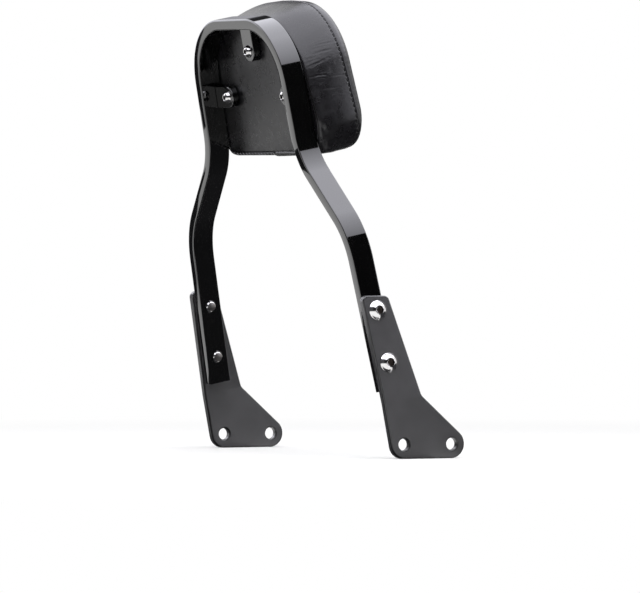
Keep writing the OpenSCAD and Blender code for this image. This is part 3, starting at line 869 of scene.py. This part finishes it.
FULLNESS, SHOULDER = 4, 0.4
tilt = sin(radians(CROWN_TILT))
edge_curve = [(0.05, 0.0), (0.4, 0.08), (0.55, 0.3), (0.65, 0.6), (0.85, 0.85), (1.15, 0.98), (1.5, 1.03)]
rises = [0.14, 0.19, 0.25, 0.32, 0.39, 0.46, 0.53, 0.6, 0.67, 0.74, 0.8]
shares = [(1 - h ** (1 / SHOULDER)) ** (1 / FULLNESS) for h in rises]
shares += list(np.linspace(shares[-1], 0, 30)[1:-1])
centre = np.array([0, PAD_BASE_Z + PAD_BASE_DROP * 0.52])
panel_rows = []
for rise, out in edge_curve:
    edge = seam_outline(groove_floor - 1.03, 1.03 - out)
    panel_rows.append(ring(edge, SEAM_Y + rise - 0.1 * stitch_row * out))
for s in shares:
    flat = centre + (seam - centre) * s
    height = (CROWN + tilt * (flat[:, 1] - PAD_BASE_Z)) * (1 - s ** FULLNESS) ** SHOULDER
    pucker = 0.14 * exp(-(1 - s) * 22) * (smooth_noise(along, 7, 11) - stitch_row)
    sag = 0.4 * sin(pi * s) * smooth_noise(along, 60, 5)
    panel_rows.append(ring(flat, SEAM_Y + 0.1 + height + pucker + sag))
hub = (centre[0], SEAM_Y + CROWN + tilt * (centre[1] - PAD_BASE_Z), centre[1])
front_panel = closed_panel("crowned_front_panel", panel_rows, hub, outwards < 0, COVER_T * SKIVED)
sewn(front_panel, "pad_front_panel")

# %% [markdown]
# The back panel is flat vinyl over the board. It is pulled down a little where the screws clamp it
# under the tabs, and rounds over into the band at its edge.

# %% Back panel
back_centre = np.array([0, PAD_BASE_Z + PAD_BASE_DROP * 0.48])
back_rows = [ring(pad_outline(inset, 1), PAD_Y + depth)
             for depth, inset in ((1.1, 3.35), (0.6, 3.5), (0.2, 3.8), (0.02, 4.3))]
back_edge = pad_outline(5.2, 1)
for s in [1, 0.97] + list(np.linspace(0.94, 0.03, 28)):
    flat = back_centre + (back_edge - back_centre) * s
    rise = 0.12 * (1 - s ** 8) + 0.08 * smooth_noise(along, 70, 3) * sin(pi * s)
    for x, z in pad_seats:
        rise = rise - 0.3 * np.exp(-((flat[:, 0] - x) ** 2 + (flat[:, 1] - z) ** 2) / 14 ** 2)
    back_rows.append(ring(flat, PAD_Y - rise))
hub = (back_centre[0], PAD_Y - 0.12, back_centre[1])
back_panel = closed_panel("flat_back_panel", back_rows, hub, outwards > 0, COVER_T)
bore = PAD_SCREW["thread_d"] / 2 + 0.4
turned = Matrix.Rotation(pi / 2, 4, "X")
bores = [lathe([(bore, -4), (bore, 4)], 32, Matrix.Translation((x, PAD_Y, z)) @ turned)
         for x, z in pad_seats]
cut(back_panel, bores, SEWN_SHARP)
sewn(back_panel, "pad_back_panel")

# %% [markdown]
# Stitches repeat along a line, which is what Geometry Nodes do best. One tree takes a line, sets
# evenly spaced points on it, and puts a short rounded thread on each. The front seam has black
# stitches 3 mm long in its groove, one in each pucker. The cover is closed along the base of its
# back with slanted stitches, whose grey is a painted highlight on black thread.

# %% Geometry nodes for stitches
def stitches_tree():
    """A short rounded thread at every step of a line, slanted by an angle."""
    tree, given = new_group("stitches_along_a_line", Stitches="Int", Stitch_length="Float",
                            Thread_radius="Float", Slant="Float")
    line = add_node(tree, "GeometryNodeMeshToCurve", {"Mesh": given["Geometry"]})
    steps = add_node(tree, "GeometryNodeCurveToPoints", {"Curve": line, "Count": given["Stitches"]},
                     mode="COUNT")
    half = add_node(tree, "Math", {0: given["Stitch length"], 1: 0.5}, operation="MULTIPLY")
    radius = given["Thread radius"]
    thread = add_node(tree, "GeometryNodeMeshUVSphere", {"Segments": 8, "Rings": 6, "Radius": radius})
    stretch = add_node(tree, "Math", {0: half, 1: radius}, operation="DIVIDE")
    shape = add_node(tree, "CombineXYZ", {"X": 1.0, "Y": 1.0, "Z": stretch})
    turn = add_node(tree, "FunctionNodeAlignEulerToVector", {"Vector": steps.outputs["Tangent"]}, axis="Z")
    lean = add_node(tree, "CombineXYZ", {"Y": given["Slant"]})
    slanted = add_node(tree, "FunctionNodeRotateEuler", {"Rotation": turn, "Rotate By": lean},
                       space="OBJECT")
    copies = add_node(tree, "GeometryNodeInstanceOnPoints",
                      {"Points": steps, "Instance": thread, "Rotation": slanted, "Scale": shape})
    return finish_group(tree, copies, given["Finish"])


def stitched_line(name, line, closed, values):
    """Stitches along a line of points in the hoop's plane."""
    count = len(line)
    edges = [(i, (i + 1) % count) for i in range(count if closed else count - 1)]
    piece = placed(name, new_mesh(name, leaned(line), edges=edges))
    declare(run_nodes(piece, stitches, values), "black_vinyl")


stitches = stitches_tree()
groove = pad_outline(groove_floor - 0.38, 0)
stitched_line("front_seam_stitches", [(x, SEAM_Y, z) for x, z in groove], True,
              {"Stitches": SEAM_STITCHES, "Stitch length": 3.0 * MM, "Thread radius": 0.46 * MM,
               "Slant": 0.0, "Finish": seam_thread})
hem_line = [(x, PAD_Y - 0.12, z) for x, z in pad_outline(1.9, 1) if z < PAD_BASE_Z + 25 and abs(x) < 72]
stitched_line("base_hem_stitches", sorted(hem_line), False,
              {"Stitches": 26, "Stitch length": 3.6 * MM, "Thread radius": 0.36 * MM,
               "Slant": 0.55, "Finish": edge_thread})

# %% [markdown]
# The studio: a pale floor that fades into a white surround, a large soft lamp above, and an even fill
# from the world. The hoop is a black mirror, so it is given something to reflect: a bright panel
# overhead with crisp edges, and dark cloths that leave the bar black between highlights. Only
# reflections see them, so the light on the colours stays plain.

# %% World and floor
scene = bpy.context.scene
SURROUND, FILL = 1.0, 0.55
FLOOR_REACH, FADE_FROM, FADE_TO = 60, 0.35, 1.1


def seen_plainly(tree):
    """One for what the camera sees, straight, in a mirror or through glass. None for light on colours."""
    rays = add_node(tree, "LightPath").outputs
    seen = rays["Is Camera Ray"]
    for other in ("Is Glossy Ray", "Is Transmission Ray"):
        seen = add_node(tree, "Math", {0: seen, 1: rays[other]}, operation="MAXIMUM")
    return seen


scene.world = bpy.data.worlds.new("surround")
scene.world.use_nodes = True
tree = scene.world.node_tree
tree.nodes.clear()
level = add_node(tree, "MapRange", {"Value": seen_plainly(tree), "To Min": FILL, "To Max": SURROUND})
surround = add_node(tree, "Background", {"Color": linear("#ffffff"), "Strength": level})
add_node(tree, "OutputWorld", {"Surface": surround})

floor_z = cad_box[0][2]
square = [(-FLOOR_REACH, -FLOOR_REACH), (FLOOR_REACH, -FLOOR_REACH), (FLOOR_REACH, FLOOR_REACH),
          (-FLOOR_REACH, FLOOR_REACH)]
floor = placed("floor", new_mesh("floor", [(x, y, floor_z) for x, y in square], [(0, 1, 2, 3)]))
material, tree, place = new_material("pale_floor")
away = add_node(tree, "VectorMath", {0: place}, operation="LENGTH")
fade = add_node(tree, "MapRange", {"Value": away, "From Min": FADE_FROM, "From Max": FADE_TO},
                interpolation_type="SMOOTHSTEP")
share = add_node(tree, "Math", {0: fade, 1: seen_plainly(tree)}, operation="MULTIPLY")
matt = add_node(tree, "BsdfDiffuse", {"Color": linear("#f1f1f2")})
glow = add_node(tree, "Emission", {"Color": linear("#ffffff"), "Strength": SURROUND})
mixed = add_node(tree, "MixShader", {"Fac": share, 1: matt, 2: glow})
add_node(tree, "OutputMaterial", {"Surface": mixed})
floor.data.materials.append(material)
print("the floor lies at", round(floor_z, 4), "m")

# %% [markdown]
# Cloths and panels hang on a circle of 1.6 m round the part, two mats lie on the floor, and four small
# flags stand close to the left leg and the plates.

# %% Cards that only reflections see
def reflected_only(name, points, faces, middle, rim=None, axis="Z", centre=0.65, reach=0.4):
    """A card that only reflections see. Its glow goes from middle to rim along an axis."""
    card = placed(name, new_mesh(name, points, faces))
    material, tree, place = new_material(name)
    at = add_node(tree, "SeparateXYZ", {"Vector": place}).outputs[axis]
    offset = add_node(tree, "Math", {0: at, 1: centre}, operation="SUBTRACT")
    away = add_node(tree, "Math", {0: offset}, operation="ABSOLUTE")
    glow = add_node(tree, "MapRange", {"Value": away, "From Max": reach, "To Min": middle,
                                       "To Max": middle if rim is None else rim})
    shine = add_node(tree, "Emission", {"Color": linear("#f6f6ff"), "Strength": glow})
    add_node(tree, "OutputMaterial", {"Surface": shine})
    card.data.materials.append(material)
    for kind in ("camera", "diffuse", "shadow", "transmission"):
        setattr(card, "visible_" + kind, False)
    print(card.name, "glows from", middle, "to", middle if rim is None else rim)


PANEL_HEIGHT, PANEL_NEAR, PANEL_FAR, PANEL_HALF_WIDTH = 0.765, 0.79, -0.28, 0.9
ahead = Vector((0.9, 0.44, 0)).normalized()
aside = Vector((ahead.y, -ahead.x, 0)) * PANEL_HALF_WIDTH
height = Vector((0, 0, PANEL_HEIGHT))
corners = [ahead * PANEL_NEAR + aside + height, ahead * PANEL_NEAR - aside + height,
           ahead * PANEL_FAR - aside + height, ahead * PANEL_FAR + aside + height]
reflected_only("bright_panel", corners, [(0, 1, 2, 3)], 3.85, 2.1, "X", 0.13, 0.6)

# A hanging card goes from one bearing to another, in degrees clockwise from the front.
HANGING_R, PLEATS = 1.6, 12
for name, first, last, bottom, top, *glow in (
        ("cloth_front_right", 59, 138, floor_z, 2.2, 0.02),
        ("cloth_behind", 138, 202, floor_z, 2.2, 0.08),
        ("cloth_front_left", 290, 303, floor_z, 1.7, 0.42, 0.04),
        ("cloth_far_left", 303, 345, floor_z, 0.6, 0.12),
        ("panel_front_right", 42, 59, 0.2, 1.0, 2.6),
        ("panel_on_the_left", 222, 278, 0.25, 2.6, 2.6)):
    sweep = np.radians(np.linspace(first, last, PLEATS + 1))
    wall = [(HANGING_R * sin(a), HANGING_R * cos(a), z) for z in (bottom, top) for a in sweep]
    faces = [(i, i + 1, PLEATS + 2 + i, PLEATS + 1 + i) for i in range(PLEATS)]
    reflected_only(name, wall, faces, *glow)

mat_z = floor_z + 0.001
for name, x0, x1, y0, y1 in (("mat_in_front", -0.7, 1.5, 0.06, 1.6),
                             ("mat_between_feet", -0.42, 0.2, -0.32, 0.03)):
    mat = [(x0, y0, mat_z), (x1, y0, mat_z), (x1, y1, mat_z), (x0, y1, mat_z)]
    reflected_only(name, mat, [(0, 1, 2, 3)], 0.05)

flag_side = Vector((0.439, -0.898, 0))
for name, place, outline in (
        ("high_flag", (-0.314, -0.154, 0),
         [(-0.002, 0.232), (0.044, 0.226), (0.046, 0.245), (0.061, 0.26), (0.058, 0.272), (0.044, 0.288),
          (0.04, 0.335), (-0.12, 0.335), (-0.12, 0.262), (-0.01, 0.258), (-0.002, 0.25)]),
        ("low_flag", (-0.314, -0.154, 0),
         [(-0.12, 0.03), (-0.06, 0.03), (-0.062, 0.067), (-0.034, 0.082), (-0.012, 0.097), (-0.01, 0.124),
          (0, 0.15), (-0.008, 0.174), (0.004, 0.19), (0, 0.2), (-0.12, 0.2)]),
        ("waist_flag", (-0.048, -0.123, 0), [(-0.05, 0.206), (0.03, 0.206), (0.03, 0.227), (-0.05, 0.227)]),
        ("plate_flag", (0.05, -0.075, 0), [(-0.12, -0.01), (0.12, -0.01), (0.12, 0.075), (-0.12, 0.075)])):
    points = [Vector(place) + flag_side * across + Vector((0, 0, z)) for across, z in outline]
    reflected_only(name, points, [tuple(range(len(points)))], 0.03)

# %% Soft lamp
lamp = bpy.data.lights.new("soft_lamp", "AREA")
lamp.shape = "RECTANGLE"
lamp.size, lamp.size_y = 1.4, 1.4
lamp.energy = 26
lamp_object = placed("soft_lamp", lamp)
lamp_object.location = (0.25, -0.25, 1.5)
lamp_aim = Vector((0, 0, 0.15)) - lamp_object.location
lamp_object.rotation_euler = lamp_aim.to_track_quat("-Z", "Y").to_euler()
lamp_object.visible_glossy = False
lamp_object.visible_camera = False
print("lamp", lamp.energy, "W")

# %% [markdown]
# The photograph was taken from behind and to the right, almost level, with a long lens. The camera
# stands on the same line and at the same distance.

# %% Camera
SHOT_AZIMUTH, SHOT_ELEVATION = 61.93, 0.83
SHOT_TARGET = Vector((26.6, -5.1, 124.7)) * MM
SHOT_DISTANCE = 7.0695
FRAME_WIDTH_PX = 640
FOCAL_PX = 8137
azimuth, elevation = radians(SHOT_AZIMUTH), radians(SHOT_ELEVATION)
backwards = Vector((sin(azimuth) * cos(elevation), -cos(azimuth) * cos(elevation),
                    sin(elevation)))
camera = bpy.data.cameras.new("camera")
camera.sensor_width = 36
camera.lens = FOCAL_PX / FRAME_WIDTH_PX * camera.sensor_width
camera.clip_end = 200
camera_object = placed("camera", camera)
camera_object.location = SHOT_TARGET + backwards * SHOT_DISTANCE
camera_object.rotation_euler = backwards.to_track_quat("Z", "Y").to_euler()
scene.camera = camera_object
scene.view_settings.view_transform = "Standard"
print("camera at", [round(c, 3) for c in camera_object.location], "lens", round(camera.lens, 1), "mm")
